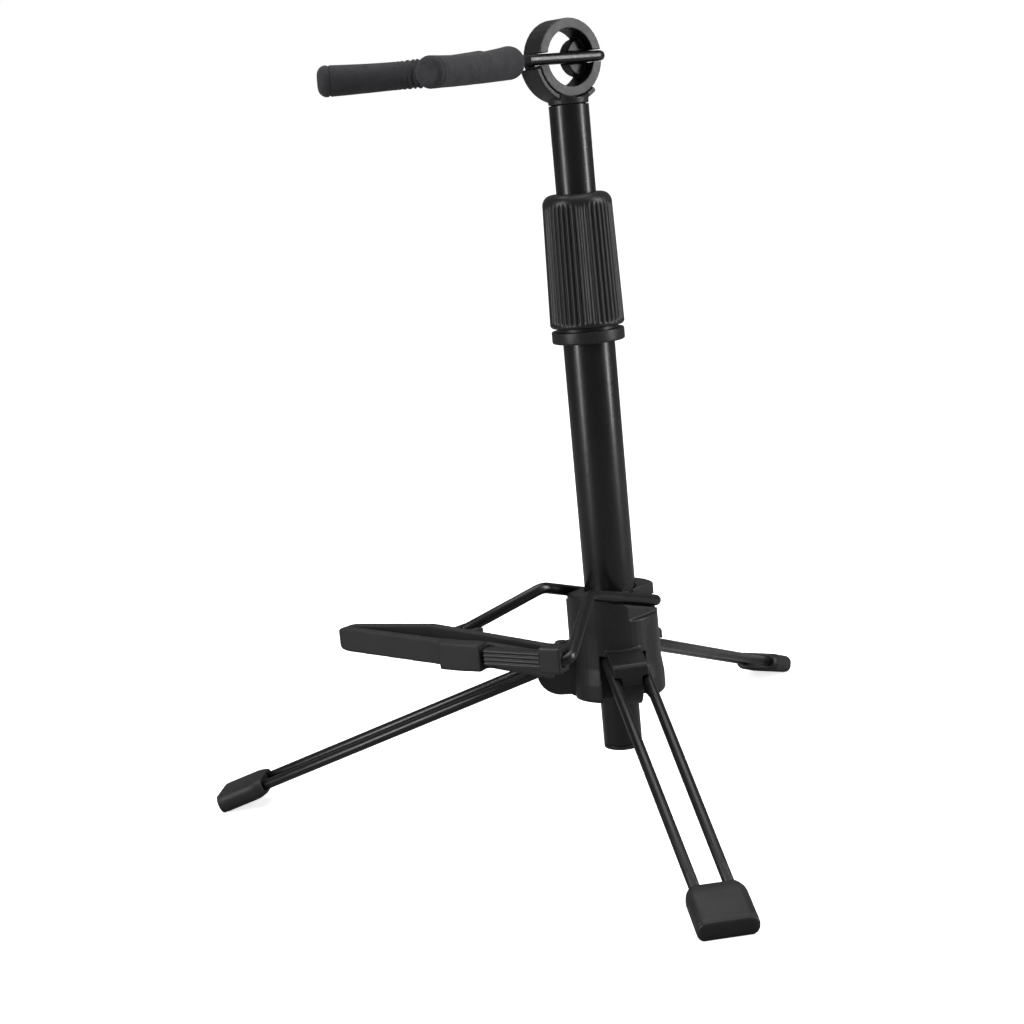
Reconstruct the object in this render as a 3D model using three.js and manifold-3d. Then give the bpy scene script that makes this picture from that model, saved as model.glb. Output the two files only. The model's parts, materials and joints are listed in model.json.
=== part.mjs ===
// Folding saxophone stand: a tripod hub on three folding wire legs, a telescopic mast with a
// clamp nut, a lower cradle for the instrument's bow and an upper padded fork for its bell.
// Millimetres, +Z up. Heights are above the floor; the post's axis is x = y = 0 until the end,
// where the whole stand is moved so that its origin is the bottom centre of its box.
import * as THREE from 'three';
import { mergeVertices } from 'three/addons/utils/BufferGeometryUtils.js';
import Module from 'manifold-3d';

const wasm = await Module();
wasm.setup();

// ---- Driving dimensions ----
const GAP = 0.3; // running clearance between neighbours
const ROUND = 32; // sides on a large round
const FAR = 400; // reach of a cutter that passes right through

const OUTER_R = 12.5;
const OUTER_WALL = 1.3;
const OUTER_BOTTOM = 84;
const OUTER_TOP = 258;
const INNER_R = 9.5;
const INNER_WALL = 1.2;
const INNER_BOTTOM = 23.3;
const INNER_TOP = 335;
const PLUG_RIM = 2; // thickness of the tube's bottom plug rim
const PLUG_DEPTH = 16;

const HUB_BOTTOM = 49;
const HUB_TOP = 102;
const HUB_TOP_R = 22.1;
const HUB_RIM_R = 23.4;
const HUB_WAIST_Z = 66; // where the wall starts to flare to the rim
const NOTCH_FLOOR = 89; // floor of the two side notches for the cradle wire
const FLUTE_R = 2.2;
const FLUTE_ANGLES = [8, 20];

const LEG_AZIMUTHS = { front: -80, left: 176, right: 64 };
const LEG_SLOPE = 19.15; // degrees below level
const LEG_LENGTH = 203.5; // pivot to the tip of the foot
const LEG_PIVOT_R = 14;
const LEG_PIVOT_Z = 71.5;
const LEG_WIRE_R = 2.5;
const LEG_SPREAD_HUB = 8.3; // half spacing of a leg's two rods
const LEG_SPREAD_FOOT = 7.2;
const LEG_BEND = 3.2;
const FIN_HALF = 5.2;
const FIN_REACH = 39.5;
const FIN_ROUND = 11.8;
const FIN_BOTTOM = 50;
const LINTEL_HALF = 8.6;
const LINTEL_REACH = 39;
const LINTEL_HEIGHT = 6.2;
const LINTEL_SLOPE = 0.2; // fall of its top over its length
const SLOT_SIDE = 11.2; // outer side of the slots that the rods fold down through

const FOOT_LENGTH = 24;
const FOOT_HALF = 13.6;
const FOOT_THICK = 11;
const FOOT_SHOULDER = 2.4;
const FOOT_BEVEL = 3; // rounding of its edges
const FOOT_NOSE = 4; // rounding of its tip's corners
const SOCKET_DEPTH = 15;
const SOLE = 0.9; // height at which the tilted foot is cut flat, before the stand is set down

const COLLAR_Z = 223.5;
const COLLAR_R = 17.5;
const COLLAR_THICK = 5.8;
const THREAD_R = 14.7;
const THREAD_TOP = 255;
const NUT_BOTTOM = 231;
const NUT_TOP = 294;
const NUT_BOTTOM_R = 17.9;
const NUT_TOP_R = 16.5;
const NUT_RIBS = 40;
const NUT_RIB_DEPTH = 0.7;
const NUT_SHOULDER = 5;

const RING_Z = 356.5;
const RING_AZIMUTH = 37.5; // level direction across the ring, away from the fork
const DRUM_R = 18.1;
const DRUM_HOLE_R = 13.3;
const RING_DEPTH = 13;
const CUP_R = 20.7;
const CUP_START = -168; // angles round the ring, degrees from the level side away from the fork
const CUP_END = -50;
const RING_SHIFT = 1.6; // the fork's rods lie this far in front of the ring's middle
const BOSS_R = 9;
const BOSS_OFFSET = 11;
const BOSS_DEPTH = 6.5;
const NECK_HEIGHT = 6;

const FORK_WIRE_R = 2.5;
const FORK_HALF_GAP = 2.9; // half spacing of the fork's rods in the drum
const FORK_TURN = 22.5; // how far the hairpin stands behind the post's axis
const FORK_SPLAY_AT = 24;
const FORK_TIP = 101;
const FORK_TIP_SIDE = 42;
const FORK_NEAR_DROP = 3.6; // how far each tip hangs below the ring's middle
const FORK_FAR_DROP = 1;
const FOAM_LENGTH = 79;
const FOAM_END_R = 7;
const FOAM_WAIST_R = 6.4;
const FOAM_OVERHANG = 5; // foam beyond the end of its prong
const FOAM_DOME = 4;
const FORK_BEND = 2.89;

const CRADLE_AZIMUTH = 230;
const CRADLE_WIRE_R = 2.75;
const CRADLE_SIDE = 16.3; // half spacing of the wire beside the post
const CRADLE_PIVOT = [-17.2, 92.5]; // distance along the cradle, height
const NEAR_KNEE = [35, 107.4];
const FAR_KNEE = [31.2, 107.6];
const PAD_Z = 91.5; // middle height of the cradle's pad
const PAD_HEIGHT = 12.4;
const PAD_THICK = 3.2;
const GRIP_DROP = 2; // how far the grip hangs below the pad's middle
const CUFF_DROP = 2.4;
const SOCKET_DROP = 1.5;
const GRIP_RIDGES = 4;

const COLOURS = {
  paint: [0x131315, 0.32, 0.4],
  plastic: [0x1d1d1f, 0.5, 0],
  nylon: [0x232325, 0.45, 0],
  rubber: [0x242426, 0.75, 0],
  foam: [0x2b2b2e, 0.95, 0],
};

// ---- Helpers ----
const rad = THREE.MathUtils.degToRad;
const stand = new THREE.Group();

function closed(geometry) {
  const bare = geometry.index ? geometry.toNonIndexed() : geometry.clone();
  bare.deleteAttribute('normal');
  bare.deleteAttribute('uv');
  const merged = mergeVertices(bare, 1e-3);
  const corners = [];
  const index = merged.index.array;
  for (let i = 0; i < index.length; i += 3) {
    const [a, b, c] = [index[i], index[i + 1], index[i + 2]];
    if (a !== b && b !== c && c !== a) corners.push(a, b, c);
  }
  merged.setIndex(corners);
  if (volume(merged) < 0) merged.setIndex(corners.reverse());
  return merged;
}

function volume(geometry) {
  const place = geometry.attributes.position;
  const [a, b, c] = [new THREE.Vector3(), new THREE.Vector3(), new THREE.Vector3()];
  let sum = 0;
  for (let i = 0; i < geometry.index.count; i += 3) {
    a.fromBufferAttribute(place, geometry.index.getX(i));
    b.fromBufferAttribute(place, geometry.index.getX(i + 1));
    c.fromBufferAttribute(place, geometry.index.getX(i + 2));
    sum += a.dot(b.cross(c)) / 6;
  }
  return sum;
}

function solid(geometry) {
  const whole = closed(geometry);
  return new wasm.Manifold(new wasm.Mesh({
    numProp: 3,
    vertProperties: new Float32Array(whole.attributes.position.array),
    triVerts: new Uint32Array(whole.index.array),
  }));
}

function surface(body) {
  const mesh = body.getMesh();
  const geometry = new THREE.BufferGeometry();
  geometry.setAttribute('position', new THREE.BufferAttribute(mesh.vertProperties, 3));
  geometry.setIndex(new THREE.BufferAttribute(mesh.triVerts, 1));
  return geometry;
}

function add(name, geometry, look, parent = stand) {
  const [color, roughness, metalness] = COLOURS[look];
  const material = new THREE.MeshStandardMaterial({ color, roughness, metalness });
  const whole = closed(geometry);
  whole.computeVertexNormals();
  const mesh = new THREE.Mesh(whole, material);
  mesh.name = name;
  parent.add(mesh);
  return mesh;
}

// A body turned about Z from [radius, height] points; the outline closes on itself.
function turned(points, sides = ROUND) {
  const outline = [...points, points[0]].map(([r, z]) => new THREE.Vector2(r, z));
  return new THREE.LatheGeometry(outline, sides).rotateX(Math.PI / 2);
}

function sleeve(innerR, outerR, z0, z1, sides = ROUND) {
  return turned([[innerR, z0], [outerR, z0], [outerR, z1], [innerR, z1]], sides);
}

function disc(r, z0, z1, sides = ROUND) {
  const round = new THREE.CylinderGeometry(r, r, z1 - z0, sides);
  return round.rotateX(Math.PI / 2).translate(0, 0, (z0 + z1) / 2);
}

function block(x0, x1, y0, y1, z0, z1) {
  const box = new THREE.BoxGeometry(x1 - x0, y1 - y0, z1 - z0);
  return box.translate((x0 + x1) / 2, (y0 + y1) / 2, (z0 + z1) / 2);
}

// An outline in the XZ plane, given as a Shape in (x, z), made as thick as |y| < half.
function upright(shape, half) {
  const plate = new THREE.ExtrudeGeometry(shape, { depth: 2 * half, bevelEnabled: false, curveSegments: 8 });
  return plate.rotateX(Math.PI / 2).translate(0, half, 0);
}

// A path through given nodes, stepped node by node, so that bends keep their own steps.
class NodePath extends THREE.Curve {
  constructor(nodes) {
    super();
    this.nodes = nodes;
  }

  getPoint(t, target = new THREE.Vector3()) {
    const place = Math.min(t * (this.nodes.length - 1), this.nodes.length - 1);
    const low = Math.min(Math.floor(place + 1e-9), this.nodes.length - 2);
    return target.lerpVectors(this.nodes[low], this.nodes[low + 1], place - low);
  }

  getPointAt(u, target) {
    return this.getPoint(u, target);
  }

  getTangentAt(u, target = new THREE.Vector3()) {
    const step = 0.5 / (this.nodes.length - 1);
    const ahead = this.getPoint(Math.min(u + step, 1));
    const behind = this.getPoint(Math.max(u - step, 0));
    return target.subVectors(ahead, behind).normalize();
  }
}

// Corner points joined by straight runs and round bends; bends may have a radius each.
function bent(points, bends, steps = 5) {
  const nodes = [points[0].clone()];
  for (let i = 1; i < points.length - 1; i += 1) {
    const back = points[i - 1].clone().sub(points[i]).normalize();
    const on = points[i + 1].clone().sub(points[i]).normalize();
    const half = back.angleTo(on) / 2;
    const bend = Array.isArray(bends) ? bends[i - 1] : bends;
    const run = bend / Math.tan(half);
    const centre = back.clone().add(on).normalize().multiplyScalar(bend / Math.sin(half)).add(points[i]);
    const from = points[i].clone().addScaledVector(back, run).sub(centre);
    const to = points[i].clone().addScaledVector(on, run).sub(centre);
    const sweep = Math.PI - 2 * half;
    for (let k = 0; k <= steps; k += 1) {
      const a = (k / steps) * sweep;
      const spot = from.clone().multiplyScalar(Math.sin(sweep - a) / Math.sin(sweep));
      nodes.push(spot.addScaledVector(to, Math.sin(a) / Math.sin(sweep)).add(centre));
    }
  }
  nodes.push(points[points.length - 1].clone());
  return nodes;
}

function wire(points, r, bend, sides = 10, steps = 5) {
  const nodes = bent(points, bend, steps);
  const section = new THREE.Shape();
  section.absarc(0, 0, r, 0, 2 * Math.PI);
  const options = { steps: nodes.length - 1, extrudePath: new NodePath(nodes), curveSegments: sides / 2 };
  return new THREE.ExtrudeGeometry(section, options);
}

const at = (x, y, z) => new THREE.Vector3(x, y, z);

// ---- Post: two tubes and what holds them ----
function tubes() {
  add('outer_tube', sleeve(OUTER_R - OUTER_WALL, OUTER_R, OUTER_BOTTOM, OUTER_TOP), 'paint');
  add('inner_tube', sleeve(INNER_R - INNER_WALL, INNER_R, INNER_BOTTOM, INNER_TOP), 'paint');
  const bore = INNER_R - INNER_WALL - GAP;
  const rim = INNER_BOTTOM - GAP;
  const plug = turned([
    [0, rim - PLUG_RIM],
    [INNER_R - 0.6, rim - PLUG_RIM],
    [INNER_R, rim - PLUG_RIM + 0.6],
    [INNER_R, rim],
    [bore, rim],
    [bore, rim + PLUG_DEPTH],
    [0, rim + PLUG_DEPTH],
  ]);
  add('tube_end_plug', plug, 'plastic');
}

function clamp() {
  const bore = OUTER_R + GAP;
  const collar = turned([
    [bore, COLLAR_Z],
    [COLLAR_R - 0.8, COLLAR_Z],
    [COLLAR_R, COLLAR_Z + 0.8],
    [COLLAR_R, COLLAR_Z + COLLAR_THICK],
    [THREAD_R, COLLAR_Z + COLLAR_THICK],
    [THREAD_R, THREAD_TOP],
    [bore, THREAD_TOP],
  ]);
  add('threaded_collar', collar, 'plastic');
  const grip = INNER_R + 0.1;
  const inTube = OUTER_R - OUTER_WALL - GAP;
  const collet = turned([
    [grip, OUTER_TOP - 30],
    [inTube, OUTER_TOP - 30],
    [inTube, OUTER_TOP + GAP],
    [OUTER_R, OUTER_TOP + GAP],
    [OUTER_R, OUTER_TOP + 6],
    [grip + 1.6, NUT_TOP - 12],
    [grip, NUT_TOP - 12],
  ]);
  add('collet', collet, 'nylon');
  add('clamp_nut', nut(), 'plastic');
}

// The nut's ribs are cut by its turned outline, so they fade out on its rounded shoulder.
function nut() {
  const height = NUT_TOP - NUT_BOTTOM;
  const outline = new THREE.Shape();
  for (let k = 0; k < NUT_RIBS; k += 1) {
    const pitch = (2 * Math.PI) / NUT_RIBS;
    const groove = NUT_BOTTOM_R - NUT_RIB_DEPTH;
    [[0.1, groove], [0.3, NUT_BOTTOM_R], [0.7, NUT_BOTTOM_R], [0.9, groove]].forEach(([part, r]) => {
      const a = (k + part) * pitch;
      if (k === 0 && part === 0.1) outline.moveTo(r * Math.cos(a), r * Math.sin(a));
      else outline.lineTo(r * Math.cos(a), r * Math.sin(a));
    });
  }
  const bar = new THREE.ExtrudeGeometry(outline, { depth: height, bevelEnabled: false });
  const shrink = (NUT_TOP_R / NUT_BOTTOM_R - 1) / height;
  const place = bar.attributes.position;
  for (let i = 0; i < place.count; i += 1) {
    const scale = 1 + shrink * place.getZ(i);
    place.setXY(i, place.getX(i) * scale, place.getY(i) * scale);
  }
  bar.translate(0, 0, NUT_BOTTOM);
  const cap = [];
  for (let k = 0; k <= 4; k += 1) {
    const a = (k / 4) * (Math.PI / 2);
    const r = NUT_TOP_R - NUT_SHOULDER * (1 - Math.cos(a));
    cap.push([r + 0.02, NUT_TOP - NUT_SHOULDER * (1 - Math.sin(a))]);
  }
  const bore = THREAD_R + GAP;
  const neck = INNER_R + GAP + 0.2;
  const seat = OUTER_R + 0.5;
  const shell = turned([
    [bore, NUT_BOTTOM],
    [NUT_BOTTOM_R - 1, NUT_BOTTOM],
    [NUT_BOTTOM_R + 0.1, NUT_BOTTOM + 1.2],
    ...cap,
    [neck, NUT_TOP],
    [neck, NUT_TOP - 10],
    [neck + 2, NUT_TOP - 11],
    [seat, OUTER_TOP + 6.5],
    [seat, THREAD_TOP + 1],
    [bore, THREAD_TOP + 1],
  ], 48);
  return surface(solid(bar).intersect(solid(shell)));
}

// ---- Hub ----
const legGroups = {};
Object.entries(LEG_AZIMUTHS).forEach(([name, azimuth]) => {
  const group = new THREE.Group();
  group.rotation.z = rad(azimuth);
  stand.add(group);
  legGroups[name] = group;
});

const fall = Math.tan(rad(LEG_SLOPE));
const rodZ = (r) => LEG_PIVOT_Z - fall * (r - LEG_PIVOT_R);
const rodTop = (r) => rodZ(r) + (LEG_WIRE_R + GAP) / Math.cos(rad(LEG_SLOPE));

// The web between a leg's rods and the lintel above them, in the leg's own frame.
function legHousing() {
  const web = new THREE.Shape();
  web.moveTo(0, rodZ(0));
  web.lineTo(FIN_REACH, rodZ(FIN_REACH));
  const low = FIN_BOTTOM;
  web.lineTo(FIN_REACH, low + FIN_ROUND);
  web.absarc(FIN_REACH - FIN_ROUND, low + FIN_ROUND, FIN_ROUND, 0, -Math.PI / 2, true);
  web.lineTo(0, low);
  const lintel = new THREE.Shape();
  const top = rodTop(LINTEL_REACH) + LINTEL_HEIGHT;
  lintel.moveTo(0, rodZ(0));
  lintel.lineTo(LINTEL_REACH, rodZ(LINTEL_REACH));
  lintel.lineTo(LINTEL_REACH - 0.6, top - 1.6);
  lintel.lineTo(LINTEL_REACH - 2, top);
  lintel.lineTo(0, top + LINTEL_SLOPE * LINTEL_REACH);
  return solid(upright(web, FIN_HALF)).add(solid(upright(lintel, LINTEL_HALF)));
}

// Two slots for the rods, open below so that the leg folds down, and the pivot hole.
function legSlots() {
  const slot = new THREE.Shape();
  const start = LEG_PIVOT_R - LEG_WIRE_R - GAP;
  slot.moveTo(start, rodTop(start));
  slot.lineTo(80, rodTop(80));
  slot.lineTo(80, 0);
  slot.lineTo(start, 0);
  const half = (SLOT_SIDE - FIN_HALF) / 2;
  const middle = FIN_HALF + half;
  const cut = upright(slot, half);
  const hole = new THREE.CylinderGeometry(LEG_WIRE_R + GAP, LEG_WIRE_R + GAP, 2 * FIN_HALF + 2, 16);
  hole.translate(LEG_PIVOT_R, 0, LEG_PIVOT_Z);
  return solid(cut.clone().translate(0, middle, 0))
    .add(solid(cut.translate(0, -middle, 0)))
    .add(solid(hole));
}

function placedAt(body, azimuth) {
  return body.transform([...new THREE.Matrix4().makeRotationZ(rad(azimuth)).elements]);
}

// Notches either side of the post for the cradle wire, with a sloping rest under the wire.
function cradleNotches() {
  const [pivotX, pivotZ] = CRADLE_PIVOT;
  const slope = (NEAR_KNEE[1] - pivotZ) / (NEAR_KNEE[0] - pivotX);
  const under = (x) => pivotZ + slope * (x - pivotX) - (CRADLE_WIRE_R + GAP) * Math.hypot(1, slope);
  const outer = CRADLE_SIDE + CRADLE_WIRE_R + GAP;
  const inner = OUTER_R + GAP;
  const rest = new THREE.Shape();
  rest.moveTo(-30, NOTCH_FLOOR);
  rest.lineTo(pivotX, NOTCH_FLOOR);
  rest.lineTo(30, under(30));
  rest.lineTo(30, FAR);
  rest.lineTo(-30, FAR);
  const half = (outer - inner) / 2;
  const hole = new THREE.CylinderGeometry(CRADLE_WIRE_R + GAP, CRADLE_WIRE_R + GAP, 2 * outer, 16);
  let cut = solid(hole.translate(pivotX, 0, pivotZ));
  [1, -1].forEach((side) => {
    cut = cut.add(solid(upright(rest, half).translate(0, side * (inner + half), 0)));
    const [y0, y1] = [side * outer, side * 60].sort((a, b) => a - b);
    cut = cut.add(solid(block(-30, 30, y0, y1, NOTCH_FLOOR, FAR)));
  });
  return cut;
}

function hub() {
  const rim = HUB_BOTTOM;
  const wall = turned([
    [0, rim],
    [HUB_RIM_R - 1, rim],
    [HUB_RIM_R, rim + 1.2],
    [HUB_RIM_R, rim + 9],
    [HUB_RIM_R - 1, HUB_WAIST_Z],
    [HUB_TOP_R, HUB_TOP - 0.8],
    [HUB_TOP_R - 0.8, HUB_TOP],
    [0, HUB_TOP],
  ], 48);
  let body = solid(wall);
  Object.values(LEG_AZIMUTHS).forEach((azimuth) => {
    body = body.add(placedAt(legHousing(), azimuth));
  });
  Object.values(LEG_AZIMUTHS).forEach((azimuth) => {
    body = body.subtract(placedAt(legSlots(), azimuth));
  });
  body = body.subtract(placedAt(cradleNotches(), CRADLE_AZIMUTH));
  FLUTE_ANGLES.forEach((azimuth) => {
    const flute = disc(FLUTE_R, HUB_WAIST_Z, FAR, 12).translate(HUB_TOP_R + 1.5, 0, 0);
    body = body.subtract(placedAt(solid(flute), azimuth));
  });
  body = body.subtract(solid(disc(OUTER_R + GAP, OUTER_BOTTOM - GAP, FAR)));
  body = body.subtract(solid(disc(INNER_R + GAP, -FAR, FAR)));
  add('hub_body', surface(body), 'plastic');
}

// ---- Legs ----
function legs() {
  const end = LEG_LENGTH - FOOT_LENGTH + SOCKET_DEPTH;
  const out = (along, side) => {
    const r = LEG_PIVOT_R + along * Math.cos(rad(LEG_SLOPE));
    return at(r, side, rodZ(r));
  };
  const path = [
    out(end, LEG_SPREAD_FOOT),
    out(0, LEG_SPREAD_HUB),
    out(0, -LEG_SPREAD_HUB),
    out(end, -LEG_SPREAD_FOOT),
  ];
  Object.entries(legGroups).forEach(([name, group]) => {
    add(`leg_wire_${name}`, wire(path, LEG_WIRE_R, LEG_BEND), 'paint', group);
    add(`foot_${name}`, foot(path), 'rubber', group);
  });
}

// A rubber foot: a rounded block across the ends of the two rods, with a flat sole.
function foot(path) {
  const bevel = FOOT_BEVEL;
  const nose = FOOT_NOSE;
  const half = FOOT_HALF - bevel;
  const tip = FOOT_LENGTH - bevel - nose;
  const plan = new THREE.Shape();
  plan.moveTo(bevel, -half + FOOT_SHOULDER);
  plan.lineTo(bevel + 4, -half);
  plan.lineTo(tip, -half);
  plan.absarc(tip, -half + nose, nose, -Math.PI / 2, 0, false);
  plan.absarc(tip, half - nose, nose, 0, Math.PI / 2, false);
  plan.lineTo(bevel + 4, half);
  plan.lineTo(bevel, half - FOOT_SHOULDER);
  const body = new THREE.ExtrudeGeometry(plan, {
    depth: FOOT_THICK - 2 * bevel,
    bevelThickness: bevel,
    bevelSize: bevel,
    bevelSegments: 3,
    curveSegments: 4,
  });
  body.translate(0, 0, bevel - FOOT_THICK / 2);
  const along = LEG_LENGTH - FOOT_LENGTH;
  body.rotateY(rad(LEG_SLOPE));
  const r = LEG_PIVOT_R + along * Math.cos(rad(LEG_SLOPE));
  body.translate(r, 0, rodZ(r));
  const sockets = wire(path, LEG_WIRE_R + GAP, LEG_BEND);
  const floor = block(0, FAR, -FAR, FAR, -FAR, SOLE);
  return surface(solid(body).subtract(solid(sockets)).subtract(solid(floor)));
}

// ---- Head: a cup on the mast, and a drum in it that carries the fork ----
const head = new THREE.Group();
head.rotation.z = rad(RING_AZIMUTH);
head.position.z = RING_Z;
stand.add(head);

// A sector of a ring about the head's Y axis, between two angles in the XZ plane.
function ringSector(innerR, outerR, start, end, depth) {
  const shape = new THREE.Shape();
  shape.absarc(0, 0, outerR, rad(start), rad(end), false);
  shape.absarc(0, 0, innerR, rad(end), rad(start), true);
  const options = { depth, bevelEnabled: false, curveSegments: 20 };
  const band = new THREE.ExtrudeGeometry(shape, options);
  return band.rotateX(Math.PI / 2).translate(0, depth / 2 + RING_SHIFT, 0);
}

function across(r, half, sides = ROUND) {
  return new THREE.CylinderGeometry(r, r, 2 * half, sides);
}

function headCup() {
  const seat = INNER_TOP - RING_Z;
  const cup = solid(ringSector(DRUM_R + GAP, CUP_R, CUP_START, CUP_END, RING_DEPTH));
  const neck = turned([
    [0, seat + GAP],
    [INNER_R, seat + GAP],
    [INNER_R + 0.3, seat + NECK_HEIGHT],
    [0, seat + NECK_HEIGHT],
  ]);
  const plug = disc(INNER_R - INNER_WALL - GAP, seat - PLUG_DEPTH, seat + 2);
  const keep = solid(across(DRUM_R + GAP, 2 * RING_DEPTH));
  const body = cup.add(solid(neck)).add(solid(plug)).subtract(keep);
  add('head_cup', surface(body), 'plastic', head);
}

// The drum is slotted from its near face, so that the fork's wire lies open across it.
function forkDrum() {
  const half = RING_DEPTH / 2;
  const rim = across(DRUM_R, half).translate(0, RING_SHIFT, 0);
  const ring = solid(rim.clone()).subtract(solid(across(DRUM_HOLE_R, 2 * RING_DEPTH)));
  const boss = across(BOSS_R, BOSS_DEPTH / 2, 24).translate(BOSS_OFFSET, RING_SHIFT + half - BOSS_DEPTH / 2 - 1, 0);
  const high = FORK_WIRE_R + GAP;
  const wide = FORK_HALF_GAP + FORK_WIRE_R + GAP;
  const slot = solid(block(-FAR, FAR, -FAR, wide, -high, high));
  const body = ring.add(solid(boss).intersect(solid(rim))).subtract(slot);
  add('fork_drum', surface(body), 'plastic', head);
}

function forkPoints() {
  const turn = FORK_TURN - FORK_WIRE_R;
  return [
    at(-FORK_TIP, FORK_TIP_SIDE, -FORK_FAR_DROP),
    at(-FORK_SPLAY_AT, FORK_HALF_GAP, 0),
    at(turn, FORK_HALF_GAP, 0),
    at(turn, -FORK_HALF_GAP, 0),
    at(-FORK_SPLAY_AT, -FORK_HALF_GAP, 0),
    at(-FORK_TIP, -FORK_TIP_SIDE, -FORK_NEAR_DROP),
  ];
}

function foamSleeve(side, path) {
  const tip = side > 0 ? path[0] : path[path.length - 1];
  const root = at(-FORK_SPLAY_AT, side * FORK_HALF_GAP, 0);
  const back = root.clone().sub(tip).normalize();
  const bore = FORK_WIRE_R + GAP;
  const profile = [[0, 0]];
  const domeSteps = 4;
  for (let k = 0; k <= domeSteps; k += 1) {
    const a = (k / domeSteps) * (Math.PI / 2);
    profile.push([FOAM_END_R * Math.sin(a) * 0.98, FOAM_DOME * (1 - Math.cos(a))]);
  }
  const steps = 12;
  for (let k = 1; k < steps; k += 1) {
    const u = k / steps;
    const r = FOAM_END_R - (FOAM_END_R - FOAM_WAIST_R) * Math.sin(Math.PI * u);
    profile.push([r, FOAM_DOME + u * (FOAM_LENGTH - 2 * FOAM_DOME)]);
  }
  for (let k = 0; k <= domeSteps; k += 1) {
    const a = (k / domeSteps) * (Math.PI / 2);
    const r = bore + (FOAM_END_R - bore) * Math.cos(a);
    profile.push([r, FOAM_LENGTH - FOAM_DOME + FOAM_DOME * Math.sin(a)]);
  }
  profile.push([0, FOAM_LENGTH]);
  const body = turned(profile, 20);
  const turnTo = new THREE.Quaternion().setFromUnitVectors(at(0, 0, 1), back);
  const start = tip.clone().addScaledVector(back, -FOAM_OVERHANG);
  body.applyQuaternion(turnTo).translate(...start.toArray());
  return surface(solid(body).subtract(solid(wire(path, bore, FORK_BEND))));
}

function fork() {
  const path = forkPoints();
  add('fork_wire', wire(path, FORK_WIRE_R, FORK_BEND), 'paint', head);
  add('foam_sleeve_far', foamSleeve(1, path), 'foam', head);
  add('foam_sleeve_near', foamSleeve(-1, path), 'foam', head);
}

// ---- Cradle: x runs along the cradle, y to its near side ----
const cradle = new THREE.Group();
cradle.rotation.z = rad(CRADLE_AZIMUTH);
stand.add(cradle);

const NEAR_END = [79.8, 39.5];
const FAR_END = [70.2, -34.9];
const FAR_END_RISE = 2.2;
const NEAR_END_DROP = 2.4;
const WIRE_BENDS = [4.5, 9, 4.5, 4.5, 9];
const WIRE_IN_SOCKET = 12;
const GRIP_START = [82.3, 26.2];
const GRIP_END = [88.6, -4];
const GRIP_THICK = 5.4;
const GRIP_HEIGHT = 7.8;
const RIDGE_THICK = 6.6;
const SOCKET_THICK = 9;
const SOCKET_HEIGHT = 12.4;
const PAD_CORNERS = [
  [76, 26], [83, -6], [91.4, -18.1], [97.3, -91],
  [94, -91.6], [76.7, -47.4], [66.3, 19.8],
];
const PAD_SAG = 0.11; // how steeply the pad sinks towards its near end
const PAD_SAG_START = -35;
const PAD_BEND = 1.6;
const CUFF_CORNERS = [[88.6, -5], [91.6, -16.5], [92.8, -27]];
const CUFF_THICK = 7.4;
const CUFF_HEIGHT = 13.4;
const CUFF_BEND = 3;
const KNOB = [65.8, 22.9];
const KNOB_R = 2.7;
const KNOB_SPAN = [83.5, 93.6];

// A flat strap standing on edge along a level path of [x, y] corners.
function strap(corners, thick, height, bend) {
  const nodes = bent(corners.map(([x, y]) => at(x, y, 0)), bend, 6);
  const left = [];
  const right = [];
  nodes.forEach((node, i) => {
    const before = nodes[Math.max(i - 1, 0)];
    const after = nodes[Math.min(i + 1, nodes.length - 1)];
    const way = after.clone().sub(before).normalize();
    const aside = at(-way.y, way.x, 0).multiplyScalar(thick / 2);
    left.push(node.clone().add(aside));
    right.push(node.clone().sub(aside));
  });
  const outline = [...left, ...right.reverse()].map((p) => new THREE.Vector2(p.x, p.y));
  const shape = new THREE.Shape(outline);
  const body = new THREE.ExtrudeGeometry(shape, { depth: height, bevelEnabled: false });
  return body.translate(0, 0, PAD_Z - height / 2);
}

function cradlePoints() {
  const [pivotX, pivotZ] = CRADLE_PIVOT;
  const toGrip = at(GRIP_END[0] - GRIP_START[0], GRIP_END[1] - GRIP_START[1], 0).normalize();
  const near = at(...NEAR_END, PAD_Z - NEAR_END_DROP);
  return [
    near.clone().addScaledVector(toGrip, WIRE_IN_SOCKET),
    near,
    at(NEAR_KNEE[0], CRADLE_SIDE, NEAR_KNEE[1]),
    at(pivotX, CRADLE_SIDE, pivotZ),
    at(pivotX, -CRADLE_SIDE, pivotZ),
    at(FAR_KNEE[0], -CRADLE_SIDE, FAR_KNEE[1]),
    at(...FAR_END, PAD_Z + FAR_END_RISE),
  ];
}

function cradlePad() {
  const pad = strap(PAD_CORNERS, PAD_THICK, PAD_HEIGHT, PAD_BEND);
  const place = pad.attributes.position;
  for (let i = 0; i < place.count; i += 1) {
    const past = Math.max(0, place.getY(i) - PAD_SAG_START);
    place.setZ(i, place.getZ(i) - PAD_SAG * past);
  }
  const cuff = strap(CUFF_CORNERS, CUFF_THICK, CUFF_HEIGHT, CUFF_BEND).translate(0, 0, -CUFF_DROP);
  return surface(solid(pad).add(solid(cuff)));
}

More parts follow.
